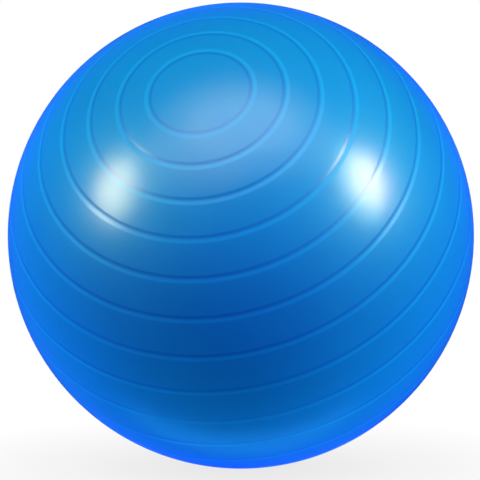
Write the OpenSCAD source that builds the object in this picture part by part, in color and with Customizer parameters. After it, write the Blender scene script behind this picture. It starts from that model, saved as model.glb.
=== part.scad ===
// Inflatable exercise ball: a hollow moulded skin with ring grooves around
// its moulding axis, a valve seat welded into one pole, and a push-in plug.

/* [Ball] */
// Outer diameter of the inflated ball
ball_d = 650; // [550:50:750]
// Thickness of the inflated skin
skin_t = 1; // [0.8:0.1:1.4]

/* [Ring grooves] */
// Grooves on each side of the one on the equator
rings_per_side = 8; // [5:1:8]
// Width of one groove across its shoulders
groove_w = 10; // [7:0.5:12]
// Depth of one groove below the skin
groove_depth = 0.4; // [0.4:0.1:1]
// Angle from the equator's groove to the next one, in degrees
ring_pitch = 10.6; // [9.6:0.1:10.8]
// How fast the grooves crowd towards the poles, in degrees per step cubed
ring_crowding = 0.015; // [0:0.005:0.02]

/* [Resting pose] */
// Lean of the moulding axis away from vertical
lean = 45; // [0:5:60]
// Direction the axis leans in, turned about the vertical from -Y towards +X
lean_direction = 45; // [0:15:345]

/* [Valve] */
// Diameter of the bore that the plug closes
bore_d = 9; // [8:0.5:10]
// Diameter of the seat's collar where it shows in the skin
collar_d = 30; // [28:1:34]
// Diameter of the seat's flange, welded under the skin
flange_d = 48; // [42:1:56]
// Thickness of the seat's flange
flange_t = 2.2; // [1.8:0.2:3]
// Diameter of the recess that takes the plug's head
recess_d = 22; // [20:0.5:24]
// Depth of that recess
recess_depth = 3; // [2.8:0.1:3.4]
// Length of the seat from the ball's surface to the sleeve's inner end
seat_length = 20; // [18:1:24]
// Diameter of the plug's head
plug_head_d = 17; // [15:0.5:18]
// Thickness of the plug's head at its rim
plug_head_t = 1.8; // [1.4:0.1:2]

/* [Hidden] */
big_fn = 256;
small_fn = 96;
ball_r = ball_d / 2;
// a groove is a round channel: the radius of its arc, and how far the arc's centre lies from the ball's
groove_r = (pow(groove_w / 2, 2) + pow(groove_depth, 2)) / (2 * groove_depth);
groove_centre = ball_r - groove_depth + groove_r;
bore_r = bore_d / 2;
collar_floor = 5;
sleeve_r = bore_r + 3;
sleeve_lead_in = 0.8;
// the plug's ribs run in the bore, and its core is slimmer
rib_r = bore_r - 0.05;
core_r = bore_r - 0.5;
rib_w = 1.6;
rib_count = 3;
rib_spacing = 4.5;
stem_length = seat_length - recess_depth + 1;
tip_r = core_r - 1;
tip_length = 3;
head_r = plug_head_d / 2;
head_gap = 0.05;
dome_rise = 0.5;
dome_r = (pow(head_r, 2) + pow(dome_rise, 2)) / (2 * dome_rise);
plug_top = plug_head_t + dome_rise;
dimple_r = 18;
dimple_depth = 0.6;
notch_r = 2;

// angle of ring k from the pole, with ring 0 on the equator
function colatitude(k) = 90 - ring_pitch * k + ring_crowding * pow(k, 3);

module right_half(r) {
    translate([0, -r]) square([r, 2 * r]);
}

// half a disc, with a round notch where each groove passes
module grooved_half_disc(r, notch_radius) {
    difference() {
        intersection() {
            circle(r = r, $fn = big_fn);
            right_half(r);
        }
        for (k = [-rings_per_side : rings_per_side])
            rotate(90 - colatitude(k))
                translate([groove_centre, 0]) circle(r = notch_radius, $fn = small_fn);
    }
}

// stands the ball on the floor with its axis leaning
module in_resting_pose() {
    translate([0, 0, ball_r]) rotate([lean, 0, lean_direction]) children();
}

// puts a valve part, drawn pointing up with its surface end at height 0, in the lower pole
module at_valve_pole() {
    in_resting_pose() rotate([180, 0, 0]) translate([0, 0, ball_r]) children();
}

// a disc of the ball's own cross-section, seen from the valve's surface point
module ball_section(r) {
    translate([0, -ball_r]) circle(r = r, $fn = big_fn);
}

module ball_skin() {
    color("#0a63c4")
        in_resting_pose()
            rotate_extrude($fn = big_fn)
                difference() {
                    grooved_half_disc(ball_r, groove_r);
                    grooved_half_disc(ball_r - skin_t, groove_r + skin_t);
                    translate([0, -ball_d]) square([collar_d / 2, ball_d]);
                }
}

module valve_seat() {
    color("#0b57ae")
        at_valve_pole()
            rotate_extrude($fn = big_fn)
                difference() {
                    union() {
                        // collar, flush with the skin
                        intersection() {
                            ball_section(ball_r);
                            translate([0, -collar_floor]) square([collar_d / 2, collar_floor]);
                        }
                        // flange, lying against the skin's inner face
                        intersection() {
                            difference() {
                                ball_section(ball_r - skin_t);
                                ball_section(ball_r - skin_t - flange_t);
                            }
                            translate([0, -2 * collar_floor]) square([flange_d / 2, 2 * collar_floor]);
                        }
                        // sleeve around the bore
                        translate([0, -seat_length]) square([sleeve_r, seat_length - collar_floor / 2]);
                    }
                    // recess for the plug's head
                    translate([0, -recess_depth]) square([recess_d / 2, recess_depth + 1]);
                    // bore, with a short lead-in at its mouth
                    translate([0, -seat_length - 1]) square([bore_r, seat_length + 1]);
                    polygon([
                        [0, -recess_depth + 0.01],
                        [bore_r + sleeve_lead_in, -recess_depth + 0.01],
                        [bore_r, -recess_depth - sleeve_lead_in],
                        [0, -recess_depth - sleeve_lead_in],
                    ]);
                }
}

// head of the plug, with its underside at height 0
module plug_head() {
    difference() {
        intersection() {
            cylinder(r = head_r, h = plug_top, $fn = small_fn);
            translate([0, 0, plug_top - dome_r]) sphere(r = dome_r, $fn = big_fn);
        }
        // dimple in the top
        translate([0, 0, plug_top - dimple_depth + dimple_r]) sphere(r = dimple_r, $fn = small_fn);
        // notches in the rim, where a tool lifts the head
        for (side = [-1, 1])
            translate([side * head_r, 0, -1]) cylinder(r = notch_r, h = plug_top + 2, $fn = small_fn);
    }
}

// stem of the plug, hanging from height 0, with the ribs that seal against the bore
module plug_stem() {
    translate([0, 0, tip_length - stem_length])
        cylinder(r = core_r, h = stem_length - tip_length + plug_head_t / 2, $fn = small_fn);
    translate([0, 0, -stem_length]) cylinder(r1 = tip_r, r2 = core_r, h = tip_length, $fn = small_fn);
    for (i = [1 : rib_count])
        translate([0, 0, -i * rib_spacing]) cylinder(r = rib_r, h = rib_w, $fn = small_fn);
}

module valve_plug() {
    color("#9c9e9c")
        at_valve_pole()
            translate([0, 0, head_gap - recess_depth])
                union() {
                    plug_head();
                    plug_stem();
                }
}

ball_skin();
valve_seat();
valve_plug();
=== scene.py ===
import math

import bmesh
import bpy
from mathutils import Matrix, Vector


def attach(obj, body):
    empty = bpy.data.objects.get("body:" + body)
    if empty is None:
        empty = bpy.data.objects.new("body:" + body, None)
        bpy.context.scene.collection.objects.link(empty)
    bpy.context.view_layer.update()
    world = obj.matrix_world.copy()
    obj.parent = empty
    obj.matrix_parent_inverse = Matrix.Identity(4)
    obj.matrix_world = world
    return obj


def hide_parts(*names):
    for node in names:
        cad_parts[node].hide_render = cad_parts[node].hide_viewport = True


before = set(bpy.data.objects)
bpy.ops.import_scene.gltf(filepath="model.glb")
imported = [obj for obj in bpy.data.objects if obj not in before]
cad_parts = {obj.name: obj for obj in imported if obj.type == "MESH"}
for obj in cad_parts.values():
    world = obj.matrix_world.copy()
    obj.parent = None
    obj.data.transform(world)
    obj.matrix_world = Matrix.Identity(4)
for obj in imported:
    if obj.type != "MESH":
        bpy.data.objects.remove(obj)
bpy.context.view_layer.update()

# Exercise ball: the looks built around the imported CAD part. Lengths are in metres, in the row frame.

# ---------------------------------------------------------------- sizes

BALL_R = 0.325
SKIN_T = 0.001
AXIS_LEAN = math.radians(45)
AXIS_DIRECTION = math.radians(45)

# ring grooves: each has a steep wall towards the blank pole and a gentle one away from it.
# RING_PITCH and RING_CROWDING are in degrees, and the walls' widths lie along the surface.
RINGS_PER_SIDE = 8
RING_PITCH = 10.6
RING_CROWDING = 0.015
GROOVE_DEPTH = 0.00025
STEEP_WALL = 0.0055
GENTLE_WALL = 0.0075
BALL_SEGMENTS = 240
VALVE_SEGMENTS = 192

# valve seat
COLLAR_R = 0.015
FLANGE_R = 0.024
FLANGE_T = 0.0022
COLLAR_FLOOR = 0.005
RECESS_R = 0.011
RECESS_DEPTH = 0.003
BORE_R = 0.0045
LEAD_IN = 0.0008
SLEEVE_R = 0.0075
SEAT_LENGTH = 0.020

# valve plug
HEAD_R = 0.0085
HEAD_T = 0.0018
HEAD_GAP = 0.00005
DOME_R = 0.0725
DOME_RISE = 0.0005
DIMPLE_R = 0.018
DIMPLE_DEPTH = 0.0006
NOTCH_R = 0.002
CORE_R = 0.004
RIB_R = 0.00445
RIB_W = 0.0016
RIB_SPACING = 0.0045
RIB_COUNT = 3
STEM_LENGTH = 0.018
TIP_R = 0.003
TIP_LENGTH = 0.003

ball_place = (
    Matrix.Translation((0, 0, BALL_R))
    @ Matrix.Rotation(AXIS_DIRECTION, 4, "Z")
    @ Matrix.Rotation(AXIS_LEAN, 4, "X")
)
valve_place = ball_place @ Matrix.Rotation(math.pi, 4, "X") @ Matrix.Translation((0, 0, BALL_R))
plug_place = valve_place @ Matrix.Translation((0, 0, HEAD_GAP - RECESS_DEPTH))

# ---------------------------------------------------------------- mesh tools

# a fillet takes up at most this share of the side next to it
LONGEST_REACH = 0.45
# a point of an outline nearer the axis than this lies on it
ON_AXIS = 1e-7
SHARP_EDGE = math.radians(38)


def rounded(corners, closed, steps=5):
    """The outline through corners (radius, height, fillet), with an arc at each corner that has a fillet."""
    outline = []
    for i, (x, y, fillet) in enumerate(corners):
        here = Vector((x, y))
        at_end = not closed and i in (0, len(corners) - 1)
        if fillet == 0 or at_end:
            outline.append((x, y))
            continue
        before = Vector(corners[i - 1][:2]) - here
        after = Vector(corners[(i + 1) % len(corners)][:2]) - here
        turn = before.angle(after)
        reach = min(
            fillet / math.tan(turn / 2),
            LONGEST_REACH * before.length,
            LONGEST_REACH * after.length,
        )
        start = here + before.normalized() * reach
        end = here + after.normalized() * reach
        for n in range(steps + 1):
            t = n / steps
            p = start.lerp(here, t).lerp(here.lerp(end, t), t)
            outline.append((p.x, p.y))
    return outline


def lathe(name, outline, place, segments, closed=False, trim=None, painted_shading=None):
    """A mesh turned from the outline around place's own Z. trim(angle) is the largest radius allowed there.
    Painted shading for each point of the outline (painted shade below 0, painted light above 0) can be
    given; the mesh keeps it as a float layer."""
    bm = bmesh.new()
    painted_shading_layer = bm.verts.layers.float.new("groove_painted_shading")
    rings = []
    for radius, height in outline:
        if radius < ON_AXIS:
            rings.append([bm.verts.new(place @ Vector((0, 0, height)))])
            continue
        ring = []
        for s in range(segments):
            a = 2 * math.pi * s / segments
            r = radius if trim is None else min(radius, trim(a, height))
            ring.append(bm.verts.new(place @ Vector((r * math.cos(a), r * math.sin(a), height))))
        rings.append(ring)
    # painted shading of each ring: shade on a groove's steep wall, light on its gentle wall
    for ring, shade_paint in zip(rings, painted_shading or []):
        for vertex in ring:
            vertex[painted_shading_layer] = shade_paint
    pairs = list(zip(rings, rings[1:]))
    if closed:
        pairs.append((rings[-1], rings[0]))
    for a, b in pairs:
        for s in range(segments):
            n = (s + 1) % segments
            corners = [a[s % len(a)], a[n % len(a)], b[n % len(b)], b[s % len(b)]]
            corners = [v for i, v in enumerate(corners) if v not in corners[:i]]
            bm.faces.new(corners)
    bmesh.ops.recalc_face_normals(bm, faces=bm.faces)
    for edge in bm.edges:
        edge.smooth = edge.calc_face_angle(0) < SHARP_EDGE
    for face in bm.faces:
        face.smooth = True
    mesh = bpy.data.meshes.new(name)
    bm.to_mesh(mesh)
    bm.free()
    obj = bpy.data.objects.new(name, mesh)
    bpy.context.scene.collection.objects.link(obj)
    return obj


# ---------------------------------------------------------------- ball skin


def colatitude(k):
    """Angle of groove k from the blank pole. Groove 0 is on the equator."""
    return math.radians(90 - RING_PITCH * k + RING_CROWDING * k**3)


GROOVES = [colatitude(k) for k in range(RINGS_PER_SIDE, -RINGS_PER_SIDE - 1, -1)]


def dip(along):
    """How deep the surface lies at a distance along it from a groove's bottom."""
    wall = STEEP_WALL if along < 0 else GENTLE_WALL
    if abs(along) >= wall:
        return 0.0
    return GROOVE_DEPTH * 0.5 * (1 + math.cos(math.pi * along / wall))


def wall_painted_shading(along):
    """Painted shading across a groove: -1 (painted shade) in the middle of its steep wall, 1 (painted light)
    in the middle of its gentle wall, 0 off the walls.
    """
    wall = STEEP_WALL if along < 0 else GENTLE_WALL
    if abs(along) >= wall:
        return 0.0
    return math.sin(math.pi * along / wall)


def skin_side(inset, wall_steps, land_steps):
    """The skin's outline from the blank pole to the valve's hole, at a depth under the outer surface, and
    the painted shading at each of its points: painted shade on a groove's steep wall, painted light on its
    gentle wall."""
    stations = [(0.0, 0.0, 0.0)]
    last = 0.0
    hole = math.pi - math.asin(COLLAR_R / (BALL_R - inset))
    for middle in GROOVES + [hole + GENTLE_WALL / BALL_R]:
        start = middle - STEEP_WALL / BALL_R
        if middle > hole:
            start = hole
        for n in range(1, land_steps + 1):
            stations.append((last + (start - last) * n / land_steps, 0.0, 0.0))
        if middle > hole:
            break
        for n in range(1, wall_steps + 1):
            along = STEEP_WALL * (n / wall_steps - 1)
            stations.append((middle + along / BALL_R, dip(along), wall_painted_shading(along)))
        for n in range(1, wall_steps + 1):
            along = GENTLE_WALL * n / wall_steps
            stations.append((middle + along / BALL_R, dip(along), wall_painted_shading(along)))
        last = middle + GENTLE_WALL / BALL_R
    outline = []
    for angle, depth, shade_paint in stations:
        r = BALL_R - inset - depth
        outline.append((r * math.sin(angle), r * math.cos(angle)))
    return outline, [shade_paint for angle, depth, shade_paint in stations]


# the skin keeps painted shade and painted light on its groove walls
outside, outside_painted_shading = skin_side(0.0, wall_steps=6, land_steps=4)
inside, inside_painted_shading = skin_side(SKIN_T, wall_steps=2, land_steps=2)
ball = lathe(
    "ball_skin_vinyl",
    outside + inside[::-1],
    ball_place,
    BALL_SEGMENTS,
    painted_shading=outside_painted_shading + inside_painted_shading[::-1],
)
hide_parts("ball_skin")

# ---------------------------------------------------------------- valve seat


def depth_at(sphere_r, radius):
    """Height of a sphere about the ball's centre, seen from the valve's point on the surface."""
    return math.sqrt(sphere_r**2 - radius**2) - BALL_R


under_skin = BALL_R - SKIN_T
under_flange = under_skin - FLANGE_T
seat_corners = [
    (RECESS_R, depth_at(BALL_R, RECESS_R), 0.0007),
    (COLLAR_R, depth_at(BALL_R, COLLAR_R), 0.0004),
    (COLLAR_R, depth_at(under_skin, COLLAR_R), 0),
    (FLANGE_R, depth_at(under_skin, FLANGE_R), 0.0005),
    (FLANGE_R, depth_at(under_flange, FLANGE_R), 0.0005),
    (COLLAR_R, depth_at(under_flange, COLLAR_R), 0.0006),
    (COLLAR_R, -COLLAR_FLOOR, 0.0005),
    (SLEEVE_R, -COLLAR_FLOOR, 0.001),
    (SLEEVE_R, -SEAT_LENGTH, 0.0006),
    (BORE_R, -SEAT_LENGTH, 0.0003),
    (BORE_R, -RECESS_DEPTH - LEAD_IN, 0.0003),
    (BORE_R + LEAD_IN, -RECESS_DEPTH, 0.0003),
    (RECESS_R, -RECESS_DEPTH, 0.0008),
]
seat = lathe(
    "valve_seat_vinyl",
    rounded(seat_corners, closed=True),
    valve_place,
    VALVE_SEGMENTS,
    closed=True,
)
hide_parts("valve_seat")

# ---------------------------------------------------------------- valve plug

dome_top = HEAD_T + DOME_RISE
dimple_rim = math.sqrt(2 * DIMPLE_DEPTH / (1 / DIMPLE_R + 1 / DOME_R))


def dome(radius):
    return dome_top - radius**2 / (2 * DOME_R)


def dimple(radius):
    return dome_top - DIMPLE_DEPTH + radius**2 / (2 * DIMPLE_R)


plug_corners = [(0, dimple(0), 0)]
for share in (0.2, 0.4, 0.6, 0.8):
    plug_corners.append((dimple_rim * share, dimple(dimple_rim * share), 0))
plug_corners.append((dimple_rim, dome(dimple_rim), 0.002))
for share in (0.35, 0.55, 0.75):
    radius = dimple_rim + (HEAD_R - dimple_rim) * share
    plug_corners.append((radius, dome(radius), 0))
plug_corners += [
    (HEAD_R, dome(HEAD_R), 0.0005),
    (HEAD_R, 0, 0.0003),
    (CORE_R, 0, 0.0003),
]
for n in range(1, RIB_COUNT + 1):
    foot = -n * RIB_SPACING
    plug_corners += [
        (CORE_R, foot + RIB_W, 0.0002),
        (RIB_R, foot + RIB_W, 0.0003),
        (RIB_R, foot, 0.0003),
        (CORE_R, foot, 0.0002),
    ]
plug_corners += [
    (CORE_R, TIP_LENGTH - STEM_LENGTH, 0.0008),
    (TIP_R, -STEM_LENGTH, 0.0008),
    (0, -STEM_LENGTH, 0),
]


def notch_limit(angle, height):
    """Largest radius of the head where the two lifting notches cut its rim."""
    off_side = NOTCH_R**2 - (HEAD_R * math.sin(angle)) ** 2
    if off_side <= 0:
        return HEAD_R
    return HEAD_R * abs(math.cos(angle)) - math.sqrt(off_side)


plug = lathe(
    "valve_plug_moulding",
    rounded(plug_corners, closed=False),
    plug_place,
    VALVE_SEGMENTS,
    trim=notch_limit,
)
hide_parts("valve_plug")

# ---------------------------------------------------------------- materials


# painted shade on a groove's steep wall and painted light on its gentle wall: how much they deepen and pale
# the blue, in red, green and blue
STEEP_WALL_PAINTED_SHADE = (1.0, 0.66, 0.92)
GENTLE_WALL_PAINTED_LIGHT = (1.0, 1.35, 1.2)
# noise lies mostly between these two values
NOISE_LOW = 0.3
NOISE_HIGH = 0.7
MOTTLE_SCALE = 9
GLOSS_SCALE = 35
GLOSS_UNEVENNESS = 0.06
GRAIN_STRENGTH = 0.25


def soft_plastic(name, colour, mottle, shader, grain, grain_depth):
    """A moulded plastic with faint mottling, a slightly uneven gloss and a fine grain, with painted shade on
    the steep walls and painted light on the gentle walls of grooves, where the mesh carries them.
    """
    material = bpy.data.materials.new(name)
    material.use_nodes = True
    nodes, links = material.node_tree.nodes, material.node_tree.links
    surface = nodes["Principled BSDF"]
    for socket, value in shader.items():
        surface.inputs[socket].default_value = value
    place = nodes.new("ShaderNodeTexCoord").outputs["Object"]

    def noise(scale, detail):
        node = nodes.new("ShaderNodeTexNoise")
        node.inputs["Scale"].default_value = scale
        node.inputs["Detail"].default_value = detail
        links.new(place, node.inputs["Vector"])
        return node.outputs["Fac"]

    def spread(value, low, high):
        node = nodes.new("ShaderNodeMapRange")
        node.inputs["From Min"].default_value = NOISE_LOW
        node.inputs["From Max"].default_value = NOISE_HIGH
        node.inputs["To Min"].default_value = low
        node.inputs["To Max"].default_value = high
        links.new(value, node.inputs["Value"])
        return node.outputs["Result"]

    mix = nodes.new("ShaderNodeMix")
    mix.data_type = "RGBA"
    mix.inputs["A"].default_value = [c * (1 - mottle) for c in colour] + [1]
    mix.inputs["B"].default_value = [min(1, c * (1 + mottle)) for c in colour] + [1]
    links.new(spread(noise(MOTTLE_SCALE, detail=4), 0, 1), mix.inputs["Factor"])
    # painted shade makes a groove's steep wall a deeper blue than the ball, and painted light makes its
    # gentle wall a paler one
    shade_paint = nodes.new("ShaderNodeAttribute")
    shade_paint.attribute_name = "groove_painted_shading"
    shade_painted = mix.outputs["Result"]
    for side, painted_factor in ((-1, STEEP_WALL_PAINTED_SHADE), (1, GENTLE_WALL_PAINTED_LIGHT)):
        share = nodes.new("ShaderNodeMath")
        share.operation = "MULTIPLY"
        share.inputs[1].default_value = side
        links.new(shade_paint.outputs["Fac"], share.inputs[0])
        wall = nodes.new("ShaderNodeMix")
        wall.data_type = "RGBA"
        wall.blend_type = "MULTIPLY"
        links.new(share.outputs["Value"], wall.inputs["Factor"])
        links.new(shade_painted, wall.inputs["A"])
        wall.inputs["B"].default_value = (*painted_factor, 1)
        shade_painted = wall.outputs["Result"]
    links.new(shade_painted, surface.inputs["Base Color"])
    smoothest = shader["Roughness"] * (1 - GLOSS_UNEVENNESS)
    roughest = shader["Roughness"] * (1 + GLOSS_UNEVENNESS)
    gloss = spread(noise(GLOSS_SCALE, detail=5), smoothest, roughest)
    links.new(gloss, surface.inputs["Roughness"])
    bump = nodes.new("ShaderNodeBump")
    bump.inputs["Strength"].default_value = GRAIN_STRENGTH
    bump.inputs["Distance"].default_value = grain_depth
    links.new(noise(1 / grain, detail=2), bump.inputs["Height"])
    links.new(bump.outputs["Normal"], surface.inputs["Normal"])
    return material


ball_vinyl = soft_plastic(
    "ball_vinyl",
    colour=(0.001, 0.145, 0.45),
    mottle=0.03,
    shader={
        "Roughness": 0.6,
        "IOR": 1.6,
        "Specular Tint": (0.03, 1.0, 1.0, 1.0),
        "Coat Weight": 0.7,
        "Coat Roughness": 0.27,
        "Coat IOR": 1.5,
        "Sheen Weight": 1.0,
        "Sheen Roughness": 0.3,
        "Sheen Tint": (0.02, 0.1, 1.0, 1.0),
    },
    grain=0.0012,
    grain_depth=0.00004,
)
seat_vinyl = soft_plastic(
    "seat_vinyl",
    colour=(0.004, 0.1, 0.44),
    mottle=0.04,
    shader={"Roughness": 0.42, "IOR": 1.5, "Coat Weight": 0.2, "Coat Roughness": 0.3},
    grain=0.0006,
    grain_depth=0.00003,
)
plug_plastic = soft_plastic(
    "plug_plastic",
    colour=(0.33, 0.34, 0.33),
    mottle=0.02,
    shader={"Roughness": 0.38, "IOR": 1.5, "Subsurface Weight": 0.15, "Subsurface Scale": 0.002},
    grain=0.0005,
    grain_depth=0.00002,
)
ball.data.materials.append(ball_vinyl)
seat.data.materials.append(seat_vinyl)
plug.data.materials.append(plug_plastic)
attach(ball, "ball")
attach(seat, "ball")
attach(plug, "plug")

# ---------------------------------------------------------------- camera

CAMERA_AZIMUTH = math.radians(59.3)
CAMERA_ELEVATION = math.radians(7.2)
CAMERA_DISTANCE = 13.0
CAMERA_LENS = 699.3
CLIP_START = 1.0
CLIP_END = 200.0
AIM_LEFT = 0.0012
AIM_DOWN = 0.0062

sin_a, cos_a = math.sin(CAMERA_AZIMUTH), math.cos(CAMERA_AZIMUTH)
sin_e, cos_e = math.sin(CAMERA_ELEVATION), math.cos(CAMERA_ELEVATION)
to_right = Vector((cos_a, sin_a, 0))
to_top = Vector((-sin_a * sin_e, cos_a * sin_e, cos_e))
to_camera = Vector((sin_a * cos_e, -cos_a * cos_e, sin_e))
ball_centre = Vector((0, 0, BALL_R))

camera = bpy.data.objects.new("camera", bpy.data.cameras.new("camera"))
bpy.context.scene.collection.objects.link(camera)
camera.data.lens = CAMERA_LENS
camera.data.clip_start = CLIP_START
camera.data.clip_end = CLIP_END
camera.location = ball_centre + to_camera * CAMERA_DISTANCE - to_right * AIM_LEFT - to_top * AIM_DOWN
camera.rotation_mode = "QUATERNION"
camera.rotation_quaternion = Matrix((to_right, to_top, to_camera)).transposed().to_quaternion()
bpy.context.scene.camera = camera

# ---------------------------------------------------------------- stage and light

FLOOR_R = 60.0
FLOOR_SEGMENTS = 64
CONTACT_REACH = 0.25
LAMP_DISTANCE = 3.0
STUDIO_WHITE = (1.0, 1.0, 1.0)
CONTACT_SHADE = 0.8
STUDIO_FILL = (0.02, 0.03, 0.04)

bm = bmesh.new()
bmesh.ops.create_circle(bm, cap_ends=True, radius=FLOOR_R, segments=FLOOR_SEGMENTS)
floor_mesh = bpy.data.meshes.new("floor")
bm.to_mesh(floor_mesh)
bm.free()
floor = bpy.data.objects.new("floor", floor_mesh)
bpy.context.scene.collection.objects.link(floor)
floor_paint = bpy.data.materials.new("floor_paint")
floor_paint.use_nodes = True
nodes, links = floor_paint.node_tree.nodes, floor_paint.node_tree.links
nodes.clear()
# only the camera sees the floor: evenly lit white, with a soft contact shadow
contact = nodes.new("ShaderNodeAmbientOcclusion")
contact.samples = 16
contact.inputs["Distance"].default_value = CONTACT_REACH
shade = nodes.new("ShaderNodeMapRange")
shade.inputs["To Min"].default_value = CONTACT_SHADE
links.new(contact.outputs["AO"], shade.inputs["Value"])
lit_floor = nodes.new("ShaderNodeEmission")
lit_floor.inputs["Color"].default_value = (*STUDIO_WHITE, 1)
links.new(shade.outputs["Result"], lit_floor.inputs["Strength"])
floor_output = nodes.new("ShaderNodeOutputMaterial")
links.new(lit_floor.outputs["Emission"], floor_output.inputs["Surface"])
floor.data.materials.append(floor_paint)
floor.visible_glossy = False
floor.visible_diffuse = False
floor.visible_shadow = False

# the camera sees a white studio, but the light that it sheds on the ball is dim
world = bpy.data.worlds.new("studio")
bpy.context.scene.world = world
world.use_nodes = True
nodes, links = world.node_tree.nodes, world.node_tree.links
seen_by_camera = nodes.new("ShaderNodeLightPath").outputs["Is Camera Ray"]
studio_tone = nodes.new("ShaderNodeMix")
studio_tone.data_type = "RGBA"
studio_tone.inputs["A"].default_value = (*STUDIO_FILL, 1)
studio_tone.inputs["B"].default_value = (*STUDIO_WHITE, 1)
links.new(seen_by_camera, studio_tone.inputs["Factor"])
links.new(studio_tone.outputs["Result"], nodes["Background"].inputs["Color"])
world.cycles_visibility.glossy = False


def softbox(name, aim, size, power, colour, shines=False):
    """An oval lamp that faces the ball: aim is its direction as (right, up, toward the camera).
    One that shines is mirrored in the ball and doesn't light it; the others light it and aren't mirrored."""
    light = bpy.data.lights.new(name, "AREA")
    light.shape = "ELLIPSE"
    light.size, light.size_y = size
    light.energy = power
    light.color = colour
    light.cycles.use_multiple_importance_sampling = shines
    obj = bpy.data.objects.new(name, light)
    bpy.context.scene.collection.objects.link(obj)
    direction = (to_right * aim[0] + to_top * aim[1] + to_camera * aim[2]).normalized()
    obj.location = ball_centre + direction * LAMP_DISTANCE
    obj.rotation_mode = "QUATERNION"
    obj.rotation_quaternion = direction.to_track_quat("Z", "Y")
    obj.visible_camera = False
    obj.visible_diffuse = not shines
    obj.visible_glossy = shines


# lamp colours
WARM = (1.0, 1.0, 0.6)
YELLOW = (1.0, 1.0, 0.42)
COOL = (0.6, 0.78, 1.0)
COLD = (0.4, 0.4, 1.0)
BLUE = (0.3, 0.1, 1.0)
DEEP_BLUE = (0.03, 0.4, 1.0)
AMBER = (1.0, 0.55, 0.25)
CORAL = (1.0, 0.5, 0.3)
CREAM = (0.9, 0.88, 0.42)
PALE_GREEN = (0.45, 0.95, 0.5)
PEACH = (1.0, 0.8, 0.4)
PALE_PEACH = (1.0, 0.8, 0.5)
APRICOT = (1.0, 0.7, 0.4)

# lamps that light the ball: warm and yellow ones for its body, cool and blue ones for its front and rims
WIDE = (2.0, 2.0)
softbox("key_top", (0, 0.86, 0.51), WIDE, 116, WARM)
softbox("key_right", (1, 0.1, 0), WIDE, 107, YELLOW)
softbox("fill_left", (-1, 0.1, 0), WIDE, 86, COOL)
softbox("fill_right_front", (0.8, 0.1, 0.6), WIDE, 58, COLD)
softbox("fill_front", (0, 0.1, 1), WIDE, 31, BLUE)
softbox("under", (0, -1, 0), WIDE, 62, WARM)
softbox("under_back", (0, -0.8, -0.6), WIDE, 32, BLUE)
softbox("back_top", (0, 0.7, -0.7), WIDE, 66, COLD)
softbox("back_left", (-0.75, 0.1, -0.6), WIDE, 106, YELLOW)
softbox("back_right", (0.75, 0.1, -0.6), WIDE, 25, BLUE)
softbox("back_left_low", (-0.7, -0.5, -0.5), WIDE, 104, COLD)
softbox("back_right_low", (0.7, -0.5, -0.5), WIDE, 102, COLD)

# lamps mirrored in the ball: a highlight and its halo at each side, the wide sheen above, the glow low down
softbox("shine_left", (-0.865, 0.33, 0.36), (0.9, 1.1), 33, AMBER, shines=True)
softbox("shine_left_halo", (-0.84, 0.315, 0.42), (1.0, 1.4), 74, CREAM, shines=True)
softbox("shine_right", (0.845, 0.365, 0.36), (0.95, 1.15), 100, CORAL, shines=True)
softbox("shine_right_halo", (0.82, 0.35, 0.42), (0.95, 1.6), 64, PALE_GREEN, shines=True)
softbox("shine_top", (0, 0.80, 0.60), (5.0, 3.0), 88, PEACH, shines=True)
softbox("shine_top_middle", (0, 0.81, 0.59), (2.8, 1.7), 50, PALE_PEACH, shines=True)
softbox("shine_front", (-0.38, 0.54, 0.75), (2.8, 1.5), 18, APRICOT, shines=True)
softbox("shine_under", (0, -0.86, -0.5), (3.5, 1.1), 24, DEEP_BLUE, shines=True)

bpy.context.scene.view_settings.view_transform = "Standard"
